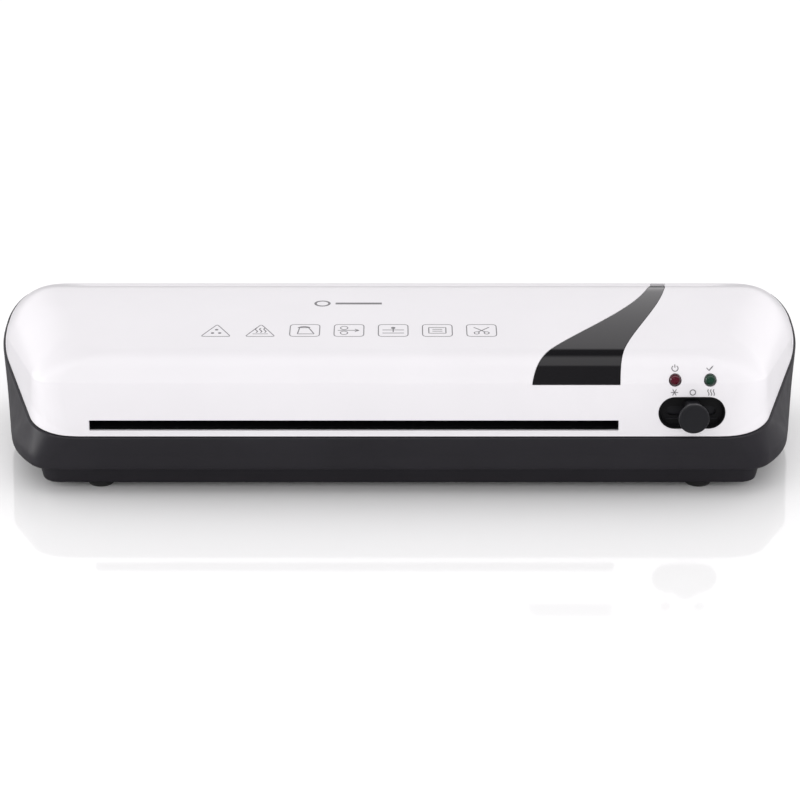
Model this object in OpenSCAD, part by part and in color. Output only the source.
// Desktop A4 pouch laminator.
// Frame: x runs along the pouch slot, +y runs from the entry slot to the exit slot, +z is up.
// The origin is on the table, in the middle of the footprint, knob included.

/* [Case] */
// Width over the widest place of the base rim
case_w = 374; // [366:1:382]
// Depth of the case without the knob
case_d = 134; // [132:1:136]
// Height of the crown above the table
case_h = 71.2; // [70:0.1:74]
// Height of the seam at the front edge
seam_z = 28.5; // [27.5:0.1:29]
// Rise of the seam for each millimetre to the rear
seam_slope = 0.2; // [0.19:0.01:0.21]
// Wall thickness of the two case shells
wall = 2.3; // [2:0.1:2.4]
// Gap between the two shells at the seam
seam_gap = 0.4; // [0.2:0.1:0.6]

/* [Pouch path] */
// Width of the entry slot
slot_w = 232; // [228:1:234]
// Height of the entry slot and of the exit slot
slot_h = 4.6; // [4.4:0.1:5]
// Distance of the slot's centre from the middle of the case
slot_x = -20; // [-21:0.5:-19]
// Height of the pouch path above the table
path_z = 34; // [33.8:0.1:34.2]

/* [Rollers and drive] */
// Outside diameter of the silicone sleeves
roller_d = 22; // [20:0.5:22.5]
// Diameter of the roller journals
journal_d = 8; // [7:0.5:8.5]
// Gap between the closed rollers
nip_gap = 0.1; // [0.06:0.01:0.2]
// Lift of the upper roller when a thick pouch passes
nip_lift = 1; // [0.6:0.1:1.2]
// Teeth of each roller gear
roller_teeth = 22; // [22]
// Teeth of the motor pinion
pinion_teeth = 18; // [18]

/* [Controls] */
// Distance of the mode switch from the middle of the case
switch_x = 127.9; // [126:0.1:129]
// Height of the mode switch
switch_z = 39.7; // [39:0.1:40.5]
// Travel of the knob to each side of its middle position
knob_travel = 7.5; // [6:0.1:7.5]
// Diameter of the knob
knob_d = 13.4; // [12.8:0.1:13.6]
// Distance from the power lamp to the ready lamp
lamp_pitch = 15.3; // [14:0.1:16]
// Diameter of the lamps
lamp_d = 5.3; // [5:0.1:5.6]

/* [Hidden] */

eps = 0.01;
fit = 0.05;
knob_reach = 6;
half_w = case_w / 2;
half_d = case_d / 2;
shift_y = knob_reach / 2;

// Outline of the case seen from above
wide_y = 30;
flank_r = 105;
flank_a = 19.1;
skirt_a = 10.5;
turn_a = 36;
lip_x = 140;

// Side profile of the roof: front bend, long arch, rear fall
bend_r = 17.5;
bend_start = 18;
bend_end = 78.5;
side_start = 24;
arch_y = 10.5;
fall_r = 60;
fall_a = 17.5;
bend_top = [-50.8, case_h - 6.2];
bend_c = bend_top - bend_r * [-cos(bend_end), sin(bend_end)];
wall_top = bend_c + bend_r * [-cos(bend_start), sin(bend_start)];
arch_r = (arch_y - bend_top[0]) / cos(bend_end);
fall_y = arch_y + fall_r * sin(fall_a);
fall_z = case_h - fall_r * (1 - cos(fall_a));

// Roller axes
roll_y = 10;
roll_r = roller_d / 2;
low_z = path_z - nip_gap / 2 - roll_r;
high_z = path_z + nip_gap / 2 + roll_r;
core_r = 7;
slot_l = slot_x - slot_w / 2;
slot_rt = slot_x + slot_w / 2;

// Roller bearings
bush_r = 5.5;
block_w = 15;
block_h = 14;
lip_t = 1.2;

// Side plates
plate_t = 1.5;
plate_l = slot_l - 10;
plate_r = slot_rt + 10;
plate_front = -47;
plate_rear = 60;
plate_foot = 8;
spring_room = 6.45;
plate_top = high_z + block_h / 2 + spring_room + nip_lift;
flange_w = 11;
plate_sites = [-30, 33];

// Gears, cut with a thinned involute tooth
gear_m = 1;
gear_pa = 20;
gear_x = plate_r + 3.5;
gear_t = 7;
gear_thin = 0.35;
pinion_y = roll_y + gear_m * (roller_teeth + pinion_teeth) / 2 + 0.08;

// Motor
motor_r = 21;
motor_t = 22;
motor_x = plate_r + 13;
motor_c = [36, 31];
motor_ear = 24.2;
motor_sites = [for (a = [58, -28]) motor_c + motor_ear * [cos(a), sin(a)]];

// Control board and lamps
board_y = -49;
board_t = 1.6;
board_posts = [112, 147];
board_screw_z = [14, 52];
lamp_x = 120.1;
lamp_z = 54.4;

// Case screws: two in front, two at the rear, and the height where cover and base bosses meet
case_sites = [[-153, -43], [156, -38], [-164, 46], [166, 40]];
case_boss_z = [32, 33, 44, 44];

function lerp(a, b, t) = a + (b - a) * t;
function seam(y) = seam_z + seam_slope * (y + half_d);

// Height of the roof above the table at depth y
function roof(y) =
    y < bend_top[0] ? bend_c[1] + sqrt(max(0, pow(bend_r, 2) - pow(y - bend_c[0], 2)))
    : y < arch_y ? case_h - arch_r + sqrt(pow(arch_r, 2) - pow(y - arch_y, 2))
    : y < fall_y ? case_h - fall_r + sqrt(pow(fall_r, 2) - pow(y - arch_y, 2))
    : fall_z - (y - fall_y) * tan(fall_a);

// Right half of an outline, from the front to the rear: hw half width, yf front, yr rear, a flank angle,
// rf and rs radii of the two arcs of the front corner, rear half axes of the rear corner, lip end of the
// front edge and b its bow
function half_outline(hw, yf, yr, a, rf, rs, rear, lip, b) =
    let (r = hw - (half_w - flank_r), cx = half_w - flank_r)
    let (p = [cx + r * cos(a), wide_y - r * sin(a)])
    let (c1y = yf + rf, c2y = c1y - (rf - rs) * sin(turn_a))
    let (c2x = p[0] + (sin(a) * (c2y - p[1]) - rs) / cos(a), c1x = c2x - (rf - rs) * cos(turn_a))
    let (q = [c2x + rs * cos(a), c2y - rs * sin(a)])
    concat(
        [[lip, yf - b]],
        [for (i = [0:8]) let (t = lerp(-90, -turn_a, i / 8)) [c1x + rf * cos(t), c1y + rf * sin(t)]],
        [for (i = [1:3]) let (t = lerp(-turn_a, -a, i / 3)) [c2x + rs * cos(t), c2y + rs * sin(t)]],
        [for (i = [1:3]) lerp(q, p, i / 4)],
        [for (i = [0:6]) let (t = lerp(-a, 0, i / 6)) [cx + r * cos(t), wide_y + r * sin(t)]],
        [[hw, (wide_y + yr - rear[1]) / 2]],
        [for (i = [0:8]) let (t = 90 * i / 8)
            [hw - rear[0] + rear[0] * cos(t), yr - rear[1] + rear[1] * sin(t)]]
    );

// The outlines, each moved in by e. The front edges bow a little, so that each strip between the two
// halves has a width
bow = 0.1;
function seam_line(e) = half_outline(
    half_w - e, e + bow - half_d, half_d - e, flank_a, 24 - e, 24 - e, [14 - e, 32 - e], lip_x, bow);
function skirt_line(e) = half_outline(
    half_w - 0.9 - e, 2 + e - half_d, half_d - 1 - e, skirt_a, 14.5 - e, 74 - e, [14 - e, 32 - e], lip_x, bow);
function plinth_line(e) = half_outline(
    half_w - 12.2 - e, 10 + e - half_d, half_d - 9 - e, skirt_a, 10 - e, 10 - e, [14 - e, 26 - e], lip_x, bow);
function crease_line(e) = half_outline(
    half_w - 2 - e, wall_top[0] + bow + e, half_d - 2.2 - e, flank_a, 17 - e, 17 - e,
    [14 - e, 32 - e], lip_x, bow);
function plateau_line() = half_outline(
    half_w - 26, bend_top[0] + 2 * bow, half_d - 17, flank_a, 20, 20, [14, 18], lip_x - 36, 2 * bow);

N = len(seam_line(0));

// Height of the sharp crease under the pillow-shaped roof
function crease_z(y) = max(wall_top[1] - 0.03 * (y + half_d), seam(y) + 1.6);
// Height of the edge between the flank facet and the wall above it, where the two meet in a tilted plane
function facet_z(p) = max(
    min(29 + 0.25 * (p[0] - lip_x) + 0.32 * (p[1] + half_d), 50.5 - 0.07 * (p[1] + half_d)), seam(p[1]) + 0.8);

// Points of one closed ring: right half, then the mirrored left half
function ring(half, z) = concat(
    [for (i = [0:N - 1]) [half[i][0], half[i][1], z[i]]],
    [for (i = [N - 1:-1:0]) [-half[i][0], half[i][1], z[i]]]
);

// Point k of the curve from the crease to the plateau, moved in by e
function pillow(k, e) =
    let (c = crease_line(e), t = plateau_line())
    let (s = [for (i = [0:N - 1]) let (f = i < 10 ? 0 : min(1, (i - 9) / 8))
        [lerp(bend_start, side_start, f), lerp(bend_end, 90, f)]])
    let (f = [for (i = [0:N - 1]) lerp(s[i][0], s[i][1], k)])
    let (u = [for (i = [0:N - 1]) (cos(s[i][0]) - cos(f[i])) / (cos(s[i][0]) - cos(s[i][1]))])
    let (w = [for (i = [0:N - 1]) (sin(f[i]) - sin(s[i][0])) / (sin(s[i][1]) - sin(s[i][0]))])
    ring(
        [for (i = [0:N - 1]) lerp(c[i], t[i], u[i])],
        [for (i = [0:N - 1]) lerp(crease_z(c[i][1]) - e / 3, roof(t[i][1]) - e, w[i])]
    );

function level(half, z) = ring(half, [for (p = half) z]);
function follow_seam(half, dz) = ring(half, [for (p = half) seam(p[1]) + dz]);
function facet_ring() =
    let (h = seam_line(1.6)) ring(h, [for (p = h) facet_z(p)]);
function crease_ring(e) =
    let (h = crease_line(e)) ring(h, [for (p = h) crease_z(p[1]) - e / 3]);

// Closed skin through a stack of rings, with its first and last ring closed by strips across the case
module skin(rings) {
    m = 2 * N;
    last = (len(rings) - 1) * m;
    sides = [for (k = [0:len(rings) - 2]) for (i = [0:m - 1]) let (j = (i + 1) % m)
        each [[k * m + i, k * m + m + j, k * m + j], [k * m + i, k * m + m + i, k * m + m + j]]];
    low = [for (i = [0:N - 2]) let (a = m - 1 - i) each [[i, i + 1, a - 1], [i, a - 1, a]]];
    high = [for (f = low) [last + f[2], last + f[1], last + f[0]]];
    polyhedron([for (r = rings) each r], concat(sides, low, high), convexity = 6);
}

module seated() {
    translate([0, shift_y, 0]) children();
}

// Cylinder along x from x0 to x1
module rod_x(x0, x1, r, y, z) {
    translate([x0, y, z]) rotate([0, 90, 0]) cylinder(h = x1 - x0, r = r, $fn = 64);
}

// Cylinder along y from y0 to y1
module rod_y(y0, y1, r, x, z) {
    translate([x, y0, z]) rotate([-90, 0, 0]) cylinder(h = y1 - y0, r = r, $fn = 64);
}

module block(lo, hi) {
    translate(lo) cube(hi - lo);
}

// Extrudes a profile drawn in y and z along x
module along_x(x0, x1) {
    translate([x0, 0, 0]) rotate([90, 0, 90]) linear_extrude(x1 - x0) children();
}

// Extrudes a profile drawn in x and z along y
module along_y(y0, y1) {
    translate([0, y1, 0]) rotate([90, 0, 0]) linear_extrude(y1 - y0) children();
}

module stadium(w, h) {
    for (s = [-1, 1]) translate([s * (w - h) / 2, 0]) circle(d = h, $fn = 48);
    square([w - h, h], center = true);
}

// Recess of the mode switch, just long enough for the knob at both ends of its travel
recess_h = 14.4;
module switch_opening(grow) {
    translate([switch_x, switch_z]) stadium(recess_h + 2 * knob_travel - 0.1 + grow, recess_h + grow);
}

// Pan-head screw along z, head up, its shank hanging below the seat
module screw(r, length, head_r, head_h) {
    translate([0, 0, -length]) cylinder(h = length + eps, r = r, $fn = 32);
    difference() {
        cylinder(h = head_h, r = head_r, $fn = 32);
        for (a = [0, 90]) rotate(a) translate([-head_r * 0.6, -0.35, head_h - 0.9]) cube([head_r * 1.2, 0.7, 1]);
    }
}

// Hole along z through a boss
module tube(r, hole, h) {
    difference() {
        cylinder(h = h, r = r, $fn = 40);
        translate([0, 0, -eps]) cylinder(h = h + 2 * eps, r = hole, $fn = 32);
    }
}

module mirror_path() {
    translate([0, 0, 2 * path_z]) mirror([0, 0, 1]) children();
}

// Long curved accent on the roof, from its foot on the front to the rear
accent_left = [[57, -66], [66, -42], [115.5, -18], [118.5, 36]];
accent_right = [[96.3, -66], [95.6, -44], [123, -14], [125.5, 34]];
accent_foot_z = 52.4;
accent_rear_y = 58;
accent_t = 1.2;

function bezier(p, t) =
    pow(1 - t, 3) * p[0] + 3 * t * pow(1 - t, 2) * p[1] + 3 * t * t * (1 - t) * p[2] + pow(t, 3) * p[3];

module accent_outline(g) {
    polygon(concat(
        [for (i = [0:16]) bezier(accent_left, i / 16) + [g, 0]],
        [[accent_left[3][0] + g, accent_rear_y - g], [accent_right[3][0] - g, accent_rear_y - g]],
        [for (i = [16:-1:0]) bezier(accent_right, i / 16) - [g, 0]]
    ));
}

// Line of the roof in y and z, moved down by e, starting at height foot
function roof_line(e, foot) = concat(
    [[wall_top[0] - 0.07 + e, foot]],
    [for (i = [0:10]) bend_c + (bend_r - e) * [-cos(lerp(bend_start, bend_end, i / 10)),
        sin(lerp(bend_start, bend_end, i / 10))]],
    [for (i = [1:8]) let (a = lerp(bend_end, 90, i / 8))
        [arch_y, case_h - arch_r] + (arch_r - e) * [-cos(a), sin(a)]],
    [for (i = [1:4]) let (a = 90 + fall_a * i / 4) [arch_y, case_h - fall_r] + (fall_r - e) * [-cos(a), sin(a)]],
    [[66, roof(66) - e]]
);
module accent_body(g, e0, e1) {
    low = roof_line(e1, accent_foot_z + g);
    intersection() {
        translate([0, 0, 45]) linear_extrude(35) accent_outline(g);
        along_x(50, 130) polygon(concat(roof_line(e0, accent_foot_z + g), [for (i = [len(low) - 1:-1:0]) low[i]]));
    }
}

module cover_room() {
    skin([
        follow_seam(seam_line(1 + wall), -8), follow_seam(seam_line(1 + wall), 1.2), crease_ring(wall),
        pillow(0.33, wall), pillow(0.66, wall), pillow(1, wall)
    ]);
}

module top_cover() color("whitesmoke") seated() difference() {
    skin([
        follow_seam(seam_line(1), seam_gap), facet_ring(), crease_ring(0),
        pillow(0.2, 0), pillow(0.4, 0), pillow(0.6, 0), pillow(0.8, 0), pillow(1, 0)
    ]);
    difference() {
        cover_room();
        for (i = [0:3]) translate([case_sites[i][0], case_sites[i][1], case_boss_z[i]])
            cylinder(h = 40, r = 3.6, $fn = 40);
    }
    for (i = [0:3]) translate([case_sites[i][0], case_sites[i][1], 20])
        cylinder(h = case_boss_z[i] - 10, r = 1.3, $fn = 32);
    block([slot_l, -half_d - 2, path_z - slot_h / 2], [slot_rt, 8 - half_d, path_z + slot_h / 2]);
    along_y(-half_d - 2, 9 - half_d) switch_opening(0);
    for (i = [0, 1]) rod_y(-half_d - 2, 10 - half_d, lamp_d / 2 + 0.1, lamp_x + i * lamp_pitch, lamp_z);
    accent_body(0, -4, accent_t);
}

module accent_inlay() color([0.13, 0.13, 0.14]) seated() accent_body(0.08, 0, accent_t - fit);

foot_x = 134;
foot_y = 48;
foot_r = 5.75;
foot_h = 4.15;
inlet_x = 152;
inlet_z = 21;
vent_w = 2.6;

module base_room() {
    skin([
        level(plinth_line(4.3), 5.2), level(plinth_line(2.4), 14.4), level(skirt_line(2.9), 17.2),
        follow_seam(seam_line(wall), -1), follow_seam(seam_line(wall), 8)
    ]);
}

module bottom_case() color([0.16, 0.16, 0.18]) seated() {
    difference() {
        skin([
            level(plinth_line(2), 2.8), level(plinth_line(0), 12), level(skirt_line(3), 12.3),
            level(skirt_line(0.9), 14), level(skirt_line(0), 18), follow_seam(seam_line(0), 0)
        ]);
        difference() {
            base_room();
            for (i = [0:3]) translate([case_sites[i][0], case_sites[i][1], 4])
                cylinder(h = case_boss_z[i] - 4.1, r = 4.4, $fn = 40);
            for (y = plate_sites) for (s = [0, 1]) translate([flange_x(s), y, 4])
                cylinder(h = plate_foot - 4 - fit, r = 4, $fn = 40);
        }
        block([slot_l, half_d - 9, path_z - slot_h / 2], [slot_rt, half_d + 2, path_z + slot_h / 2]);
        for (i = [0:3]) translate([case_sites[i][0], case_sites[i][1], 0]) {
            cylinder(h = 60, r = 1.7, $fn = 32);
            cylinder(h = 9, r = 3.4, $fn = 32);
        }
        for (y = plate_sites) for (s = [0, 1]) translate([flange_x(s), y, 4.9]) cylinder(h = 9, r = 1.25, $fn = 32);
        for (x = [-110:10:80]) for (y = [-24, 32]) block([x, y - 10, 0], [x + vent_w, y + 10, 9]);
        for (x = [-1, 1]) for (y = [-1, 1]) translate([x * foot_x, y * foot_y, 0])
            cylinder(h = foot_h + fit, r = foot_r + fit, $fn = 48);
        block([inlet_x - 10, half_d - 13, inlet_z - 6.2], [inlet_x + 10, half_d + 2, inlet_z + 6.2]);
        for (x = [-170:6:-148]) block([x, half_d - 12, 33], [x + vent_w, half_d + 2, 44]);
    }
    for (x = board_posts) difference() {
        block([x - 3, board_y + board_t + fit, 4.5], [x + 3, board_y + board_t + 6, 56]);
        for (z = board_screw_z) rod_y(board_y, board_y + board_t + 5, 1.05, x, z);
    }
}

module rubber_feet() color([0.1, 0.1, 0.1]) seated() for (x = [-1, 1]) for (y = [-1, 1])
    translate([x * foot_x, y * foot_y, 0]) cylinder(h = foot_h, r = foot_r, $fn = 48);

module case_screws() color("silver") seated() for (i = [0:3])
    translate([case_sites[i][0], case_sites[i][1], 8.95]) mirror([0, 0, 1])
        screw(1.25, case_boss_z[i] - 2, 2.9, 1.8);

// Throat that leads the pouch from y0 to y1: mouth and tail are half its height at those ends
module throat(y0, y1, mouth, tail) difference() {
    block([slot_l - 3, y0, path_z - 5], [slot_rt + 3, y1, path_z + 5]);
    along_x(slot_l, slot_rt) polygon([
        [y0 - 1, path_z - mouth], [y0 + 5, path_z - mouth], [y1 - 3, path_z - tail], [y1 + 1, path_z - tail],
        [y1 + 1, path_z + tail], [y1 - 3, path_z + tail], [y0 + 5, path_z + mouth], [y0 - 1, path_z + mouth]
    ]);
}
module entry_guide() color([0.08, 0.08, 0.08]) seated() throat(-62.6, -46, slot_h / 2, 2.2);
module exit_guide() color([0.08, 0.08, 0.08]) seated() throat(22.6, 63, 2.2, slot_h / 2);

function flange_x(s) = s == 0 ? plate_l - plate_t - 5.5 : plate_r + plate_t + 4.5;

// Upright steel plate, its foot flange turned to the outside: dir is -1 or 1
module side_plate(x0, dir) difference() {
    union() {
        along_x(x0, x0 + plate_t) polygon([
            [plate_front, plate_foot], [plate_rear - 7, plate_foot], [plate_rear - 5.6, plate_foot + 7.2],
            [plate_rear, plate_foot + 9.6],
            [plate_rear, 47], [plate_rear - 12, 55],
            [plate_rear - 30, plate_top], [plate_front + 8, plate_top], [plate_front, plate_top - 8]
        ]);
        block([dir > 0 ? x0 : x0 - flange_w + plate_t, -36, plate_foot],
            [dir > 0 ? x0 + flange_w : x0 + plate_t, 40, plate_foot + plate_t]);
    }
    rod_x(x0 - 1, x0 + plate_t + 1, bush_r + fit, roll_y, low_z);
    block([x0 - 1, roll_y - block_w / 2 - fit, high_z - block_h / 2 - 0.2],
        [x0 + plate_t + 1, roll_y + block_w / 2 + fit, plate_top + 1]);
    for (y = plate_sites) translate([flange_x(dir > 0 ? 1 : 0), y, plate_foot - 1])
        cylinder(h = 4, r = 1.7, $fn = 32);
    block([x0 - 1, -30, 44], [x0 + plate_t + 1, -14, 52]);
    if (dir > 0) for (p = motor_sites) rod_x(x0 - 1, x0 + plate_t + 1, 1.7, p[0], p[1]);
}
module left_side_plate() color("lightsteelblue") seated() side_plate(plate_l - plate_t, -1);
module right_side_plate() color("lightsteelblue") seated() side_plate(plate_r, 1);

module plate_screws() color("silver") seated() for (y = plate_sites) for (s = [0, 1])
    translate([flange_x(s), y, plate_foot + plate_t + fit]) screw(1.2, 4.4, 2.8, 1.8);

// Heater plate above the path: flat bar with lead-in edges and two ribs
heat_y0 = -44;
heat_y1 = -4;
heat_y = (heat_y0 + heat_y1) / 2;
heat_gap = 1.7;
heat_t = 3;
heat_l = plate_l + 6;
heat_rt = plate_r - 6;
rib_in = 10.5;
rib_out = 12;
rib_h = 3;
heat_back = path_z + heat_gap + heat_t;
module upper_heater_plate() color("silver") seated() along_x(heat_l, heat_rt) polygon([
    [heat_y0, path_z + heat_gap + 2], [heat_y0 + 5, path_z + heat_gap], [heat_y1 - 4, path_z + heat_gap],
    [heat_y1, path_z + heat_gap + 1.2], [heat_y1, heat_back], [heat_y + rib_out, heat_back],
    [heat_y + rib_out, heat_back + rib_h], [heat_y + rib_in, heat_back + rib_h], [heat_y + rib_in, heat_back],
    [heat_y - rib_in, heat_back], [heat_y - rib_in, heat_back + rib_h], [heat_y - rib_out, heat_back + rib_h],
    [heat_y - rib_out, heat_back], [heat_y0, heat_back]
]);
module lower_heater_plate() mirror_path() upper_heater_plate();

module both_sides_of_path() {
    children();
    mirror_path() children();
}
module heater_elements() color("wheat") seated() both_sides_of_path()
    block([heat_l + 4, heat_y - 9, heat_back + fit], [heat_rt - 4, heat_y + 9, heat_back + 1.6]);
module heater_clips() color("gray") seated() both_sides_of_path() for (x = [-105, -20, 65])
    block([x, heat_y - rib_in + fit, heat_back + 1.65], [x + 10, heat_y + rib_in - fit, heat_back + 2.35]);

// Phenolic end blocks that hold both heater plates between the side plates
module heater_supports() color("sienna") seated() for (s = [0, 1]) {
    x0 = s == 0 ? plate_l + fit : heat_rt - 1;
    x1 = s == 0 ? heat_l + 1 : plate_r - fit;
    difference() {
        block([x0, heat_y0 - 1, path_z - 11], [x1, heat_y1 + 1, path_z + 11]);
        both_sides_of_path() block([heat_l - fit, heat_y0 - fit, path_z + heat_gap - fit],
            [heat_rt + fit, heat_y1 + fit, heat_back + rib_h + fit]);
    }
}

// Bent sheet over the heater plates, open towards them
module upper_heat_shield() color("gainsboro") seated() along_x(plate_l + 1, plate_r - 1) polygon([
    [-47, 47], [-46.2, 47], [-46.2, 55.2], [-4.8, 55.2], [-4.8, 47], [-4, 47], [-4, 56], [-47, 56]
]);
module lower_heat_shield() color("gainsboro") seated() along_x(plate_l + 1, plate_r - 1) polygon([
    [-47, 21], [-46.2, 21], [-46.2, 13.8], [-4.8, 13.8], [-4.8, 21], [-4, 21], [-4, 13], [-47, 13]
]);

module thermostat() color("peru") seated() translate([-60, heat_y, heat_back + 1.65]) {
    cylinder(h = 3, r = 7, $fn = 48);
    block([-12, -3, 0], [12, 3, 0.8]);
    for (s = [-1, 1]) block([s * 4 - 1.5, -0.4, 2.9], [s * 4 + 1.5, 0.4, 6]);
}
module thermal_fuse() color("ivory") seated() {
    rod_x(20, 31, 2, heat_y, heat_back + 3.8);
    rod_x(10, 41, 0.5, heat_y, heat_back + 3.8);
}

// Rollers: steel core with journals and a silicone sleeve
sleeve_l = slot_l - 5;
sleeve_rt = slot_rt + 5;
core_l = plate_l - 8;
core_rt = gear_x + gear_t + 1.5;
journal_r = journal_d / 2;
flat_y = roll_y + 3;

module roller_core(z) difference() {
    union() {
        rod_x(sleeve_l - 1, sleeve_rt + 1, core_r, roll_y, z);
        rod_x(core_l, core_rt, journal_r, roll_y, z);
    }
    block([gear_x - 0.2, flat_y, z - 5], [core_rt + 1, flat_y + 3, z + 5]);
    difference() {
        rod_x(core_l + 2, core_l + 2.9, 6, roll_y, z);
        rod_x(core_l + 1, core_l + 4, journal_r - 0.7, roll_y, z);
    }
}
module roller_sleeve(z) difference() {
    rod_x(sleeve_l, sleeve_rt, roll_r, roll_y, z);
    rod_x(sleeve_l - 1, sleeve_rt + 1, core_r + 0.02, roll_y, z);
}
module retaining_ring(z) difference() {
    rod_x(core_l + 2.1, core_l + 2.8, 6, roll_y, z);
    rod_x(core_l + 1, core_l + 4, journal_r - 0.65, roll_y, z);
    block([core_l + 1, roll_y - 2, z - 7], [core_l + 4, roll_y + 2, z]);
}
module lower_roller_core() color("silver") seated() roller_core(low_z);
module upper_roller_core() color("silver") seated() roller_core(high_z);
module lower_roller_sleeve() color("orangered") seated() roller_sleeve(low_z);
module upper_roller_sleeve() color("orangered") seated() roller_sleeve(high_z);
module lower_retaining_ring() color("dimgray") seated() retaining_ring(low_z);
module upper_retaining_ring() color("dimgray") seated() retaining_ring(high_z);

module roller_bush(x0, x1, lip) difference() {
    union() {
        rod_x(x0, x1, bush_r, roll_y, low_z);
        rod_x(lip, lip + lip_t, bush_r + 1.8, roll_y, low_z);
    }
    rod_x(x0 - 1, x1 + 1, journal_r + fit, roll_y, low_z);
}
module roller_bushes() color("saddlebrown") seated() {
    roller_bush(plate_l - plate_t - lip_t, plate_l + 1.5, plate_l + 0.3);
    roller_bush(plate_r - 1.5, plate_r + plate_t + lip_t, plate_r - 1.5);
}

// Bearing block that slides on the edges of the slot in a side plate
module bearing_block(x0) difference() {
    block([x0 - lip_t, roll_y - block_w / 2 - 1.5, high_z - block_h / 2],
        [x0 + plate_t + lip_t, roll_y + block_w / 2 + 1.5, high_z + block_h / 2]);
    for (s = [-1, 1]) block([x0 - fit, roll_y + s * (block_w / 2 + 1) - 1 - fit, high_z - 10],
        [x0 + plate_t + fit, roll_y + s * (block_w / 2 + 1) + 1 + fit, high_z + 10]);
    rod_x(x0 - 3, x0 + plate_t + 3, journal_r + fit, roll_y, high_z);
}
module bearing_blocks() color("saddlebrown") seated() {
    bearing_block(plate_l - plate_t);
    bearing_block(plate_r);
}

// Round rod of radius r swept through the points p, with n sides
function unit(v) = v / norm(v);
function sweep_ring(p, i, r, n) =
    let (t = unit(p[min(i + 1, len(p) - 1)] - p[max(i - 1, 0)]))
    let (s = unit(cross(t, [0.1, 0.2, 1])), u = cross(t, s))
    [for (k = [0:n - 1]) p[i] + r * (cos(360 * k / n) * s + sin(360 * k / n) * u)];
module sweep(p, r, n) {
    last = (len(p) - 1) * n;
    sides = [for (i = [0:len(p) - 2]) for (k = [0:n - 1]) let (j = (k + 1) % n)
        each [[i * n + k, i * n + n + k, i * n + n + j], [i * n + k, i * n + n + j, i * n + j]]];
    ends = [for (k = [1:n - 2]) each [[0, k, k + 1], [last, last + k + 1, last + k]]];
    polyhedron([for (i = [0:len(p) - 1]) each sweep_ring(p, i, r, n)], concat(sides, ends), convexity = 8);
}

// Compression springs between the blocks and the caps on the side plates
spring_z0 = high_z + block_h / 2 + fit;
spring_z1 = plate_top;
spring_r = 2.1;
wire_r = 0.35;
spring_turns = 4;
turn_steps = 12;
module coil(x) {
    steps = turn_steps * spring_turns;
    sweep([for (i = [0:steps]) let (a = 360 * i / turn_steps)
        [x + spring_r * cos(a), roll_y + spring_r * sin(a), lerp(spring_z0 + wire_r, spring_z1 - wire_r, i / steps)]
    ], wire_r, 6);
}
module pressure_springs() color("gray") seated() for (x = [plate_l - plate_t + 0.5, plate_r + 0.5]) coil(x);
module spring_caps() color("lightsteelblue") seated() for (x = [plate_l - plate_t, plate_r]) {
    block([x - 2.5, roll_y - 13, plate_top + fit], [x + plate_t + 2.5, roll_y + 13, plate_top + 1.3]);
    for (s = [-1, 1]) for (t = [-1, 1]) translate([x + plate_t / 2 + t * 2.65, roll_y + s * 11, plate_top - 1.4])
        cube([2, 4, 3], center = true);
}

// Involute gear tooth: angle of the flank at radius r
function inv(a) = tan(a) * 180 / PI - a;
function flank(z, r) = 90 / z - gear_thin * 90 / (z * PI / 2) / 2
    + inv(gear_pa) - inv(acos(min(1, gear_m * z * cos(gear_pa) / 2 / r)));
module gear_profile(z, turn) {
    ra = gear_m * (z / 2 + 0.95);
    rb = gear_m * z * cos(gear_pa) / 2 + 0.001;
    rr = gear_m * (z / 2 - 1.25);
    rs = [for (i = [0:3]) lerp(rb, ra, i / 3)];
    polygon([for (k = [0:z - 1]) let (c = turn + 360 * k / z) each concat(
        [rr * [cos(c - flank(z, rb)), sin(c - flank(z, rb))]],
        [for (r = rs) r * [cos(c - flank(z, r)), sin(c - flank(z, r))]],
        [for (i = [3:-1:0]) rs[i] * [cos(c + flank(z, rs[i])), sin(c + flank(z, rs[i]))]],
        [rr * [cos(c + flank(z, rb)), sin(c + flank(z, rb))]]
    )]);
}
module roller_gear(h, turn) difference() {
    along_x(gear_x, gear_x + gear_t) translate([roll_y, h]) gear_profile(roller_teeth, turn);
    difference() {
        rod_x(gear_x - 1, gear_x + gear_t + 1, journal_r + fit, roll_y, h);
        block([gear_x - 2, flat_y + fit, h - 6], [gear_x + gear_t + 2, flat_y + 4, h + 6]);
    }
}
module lower_roller_gear() color("ivory") seated() roller_gear(low_z, 90);
module upper_roller_gear() color("ivory") seated() roller_gear(high_z, 90 + 180 / roller_teeth);
module motor_pinion() color("ivory") seated() difference() {
    along_x(gear_x, gear_x + gear_t) translate([pinion_y, low_z]) gear_profile(pinion_teeth, 180);
    rod_x(gear_x - 1, gear_x + gear_t + 1, 2.5 + fit, pinion_y, low_z);
}
module motor_shaft() color("silver") seated() rod_x(gear_x - 0.5, motor_x + 4, 2.5, pinion_y, low_z);

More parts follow.
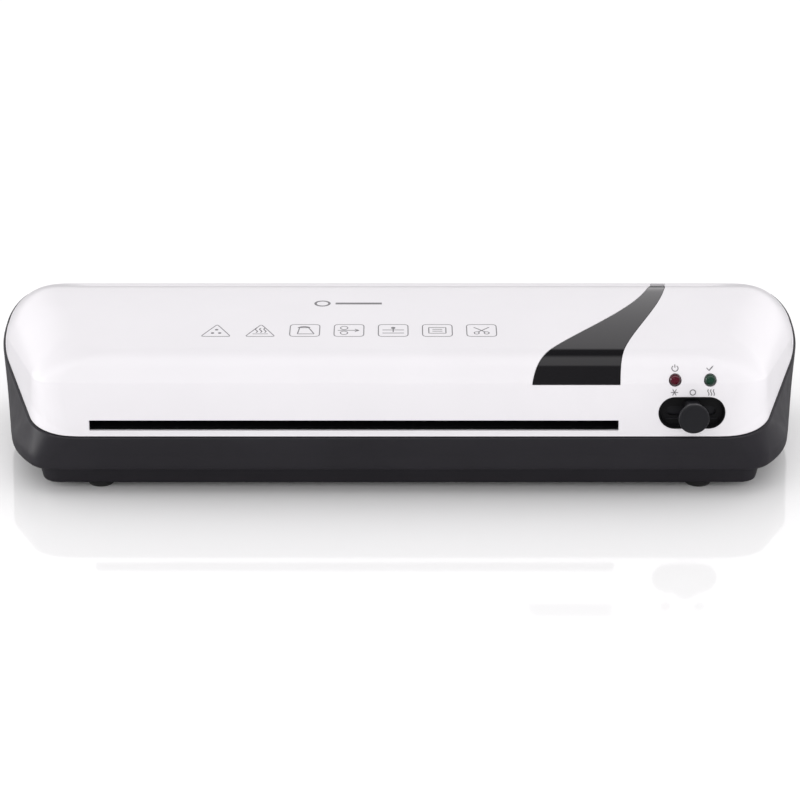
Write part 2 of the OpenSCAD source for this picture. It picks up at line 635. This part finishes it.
// Synchronous gear motor: flat can with two ears and a shaft set off its middle
module drive_motor() color("silver") seated() difference() {
    union() {
        rod_x(motor_x, motor_x + motor_t, motor_r, motor_c[0], motor_c[1]);
        rod_x(motor_x - 2, motor_x + 1, 5, pinion_y, low_z);
        for (p = motor_sites) hull() {
            rod_x(motor_x, motor_x + 1, 3.6, p[0], p[1]);
            rod_x(motor_x, motor_x + 1, 3.6, motor_c[0], motor_c[1]);
        }
    }
    for (p = motor_sites) rod_x(motor_x - 1, motor_x + 2, 1.6, p[0], p[1]);
    rod_x(motor_x - 3, motor_x + 5, 2.5 + fit, pinion_y, low_z);
}
module motor_standoffs() color("silver") seated() for (p = motor_sites) difference() {
    rod_x(plate_r + plate_t + fit, motor_x - fit, 3, p[0], p[1]);
    rod_x(plate_r, motor_x + 1, 1.55, p[0], p[1]);
}
module motor_screws() color("silver") seated() for (p = motor_sites)
    translate([motor_x + 1 + fit, p[0], p[1]]) rotate([0, 90, 0]) screw(1.45, 14.4, 2.8, 1.8);

module control_board() color("darkgreen") seated() difference() {
    block([108.4, board_y, 10], [150.5, board_y + board_t, 57.5]);
    for (x = board_posts) for (z = board_screw_z) rod_y(board_y - 1, board_y + 3, 1.5, x, z);
}
module board_screws() color("silver") seated() for (x = board_posts) for (z = board_screw_z)
    translate([x, board_y - fit, z]) rotate([90, 0, 0]) screw(1, 5.5, 2.2, 1.4);

// Transformer, capacitor, relay and terminal block on the rear of the board
module board_parts() color([0.2, 0.2, 0.22]) seated() translate([0, board_y + board_t + fit, 0]) {
    block([118, 0, 14], [136, 13, 27]);
    block([118, 0, 30], [130, 9, 44]);
    rod_y(0, 13, 4, 136.5, 35);
    block([118, 0, 47], [139, 7, 54]);
}

module slide_switch() color([0.75, 0.75, 0.78]) seated() difference() {
    block([switch_x - 12, board_y - 6.5, switch_z - 4.5], [switch_x + 12, board_y - fit, switch_z + 4.5]);
    block([switch_x - 10, board_y - 8, switch_z - 2.1], [switch_x + 10, board_y - 2.5, switch_z + 2.1]);
}

bezel_y = -61.7;
bezel_t = 1.2;
module switch_bezel() color([0.05, 0.05, 0.05]) seated() difference() {
    union() {
        along_y(-64.5, bezel_y + 0.5) switch_opening(-0.1);
        along_y(bezel_y, bezel_y + bezel_t) switch_opening(4);
    }
    along_y(-66, bezel_y) switch_opening(-1.1);
    along_y(-66, bezel_y + 4) translate([switch_x, switch_z]) stadium(2 * knob_travel + 6.6, 4.4);
}

// Knob: a thin disc in front of the cover, a neck in the recess, a shutter behind the bezel that closes
// its slot, and a square stem in the switch
face_t = 2.6;
neck_w = 6.6;
stem_w = 3.8;
module switch_knob() color([0.1, 0.1, 0.1]) seated() {
    front = -half_d - knob_reach;
    rod_y(front, front + face_t, knob_d / 2, switch_x, switch_z);
    block([switch_x - neck_w / 2, front + face_t - 0.1, switch_z - 5.2],
        [switch_x + neck_w / 2, bezel_y - 0.5, switch_z + 5.3]);
    block([switch_x - 15, bezel_y + bezel_t + 0.15, switch_z - 3.6],
        [switch_x + 15, bezel_y + bezel_t + 0.65, switch_z + 3.6]);
    block([switch_x - stem_w / 2, bezel_y - 0.6, switch_z - stem_w / 2],
        [switch_x + stem_w / 2, board_y - 3, switch_z + stem_w / 2]);
}

module lamp(x) {
    rod_y(-62.5, -55, lamp_d / 2, x, lamp_z);
    translate([x, -62.5, lamp_z]) sphere(d = lamp_d, $fn = 32);
    rod_y(-56, -55, lamp_d / 2 + 0.3, x, lamp_z);
}
module power_lamp() color("red") seated() lamp(lamp_x);
module ready_lamp() color("green") seated() lamp(lamp_x + lamp_pitch);
module lamp_leads() color("silver") seated() for (i = [0, 1]) for (s = [-1, 1])
    rod_y(-55 + fit, board_y - fit, 0.3, lamp_x + i * lamp_pitch + s * 1.27, lamp_z);

// Two-pin mains inlet in the rear wall
module mains_inlet() color([0.07, 0.07, 0.07]) seated() difference() {
    block([inlet_x - 9.9, half_d - 20, inlet_z - 6.1], [inlet_x + 9.9, half_d - 1.2, inlet_z + 6.1]);
    along_y(half_d - 16, half_d) translate([inlet_x, inlet_z]) stadium(16, 8);
    for (s = [-1, 1]) rod_y(half_d - 24, half_d - 10, 1.25, inlet_x + s * 4.3, inlet_z);
}
module inlet_pins() color("silver") seated() for (s = [-1, 1])
    rod_y(half_d - 24, half_d - 5, 1.2, inlet_x + s * 4.3, inlet_z);

// Insulated wires: the corners of their route are rounded by quadratic curves
function rounded(p) = concat(
    [p[0]],
    [for (i = [1:len(p) - 2]) let (a = (p[i - 1] + p[i]) / 2, b = (p[i] + p[i + 1]) / 2)
        for (t = [0.1, 0.35, 0.65, 0.9]) pow(1 - t, 2) * a + 2 * t * (1 - t) * p[i] + t * t * b],
    [p[len(p) - 1]]
);
module wire_harness() color("firebrick") seated() {
    sweep(rounded([[90, -24, 42.4], [100, -22, 49], [112, -22, 48], [122, -30, 50], [122, -40.2, 50]]), 1, 10);
    sweep(rounded([[130, 36, 53.4], [130, 20, 58.5], [132, -30, 50], [132, -40.2, 50]]), 1, 10);
    sweep(rounded([[147.7, 42.8, 21], [147.7, 20, 20], [149, -20, 16], [133, -28, 20], [133, -34.2, 20]]), 1.2, 10);
    sweep(rounded([[156.3, 42.8, 21], [156.3, 20, 20], [154, -22, 12], [126, -26, 17], [126, -34.2, 17]]), 1.2, 10);
}

top_cover();
bottom_case();
accent_inlay();
rubber_feet();
case_screws();
entry_guide();
exit_guide();
left_side_plate();
right_side_plate();
plate_screws();
upper_heater_plate();
lower_heater_plate();
heater_elements();
heater_clips();
heater_supports();
upper_heat_shield();
lower_heat_shield();
thermostat();
thermal_fuse();
lower_roller_core();
lower_roller_sleeve();
lower_retaining_ring();
lower_roller_gear();
upper_roller_core();
upper_roller_sleeve();
upper_retaining_ring();
upper_roller_gear();
roller_bushes();
bearing_blocks();
pressure_springs();
spring_caps();
motor_pinion();
motor_shaft();
drive_motor();
motor_standoffs();
motor_screws();
control_board();
board_parts();
board_screws();
slide_switch();
switch_bezel();
switch_knob();
power_lamp();
ready_lamp();
lamp_leads();
mains_inlet();
inlet_pins();
wire_harness();
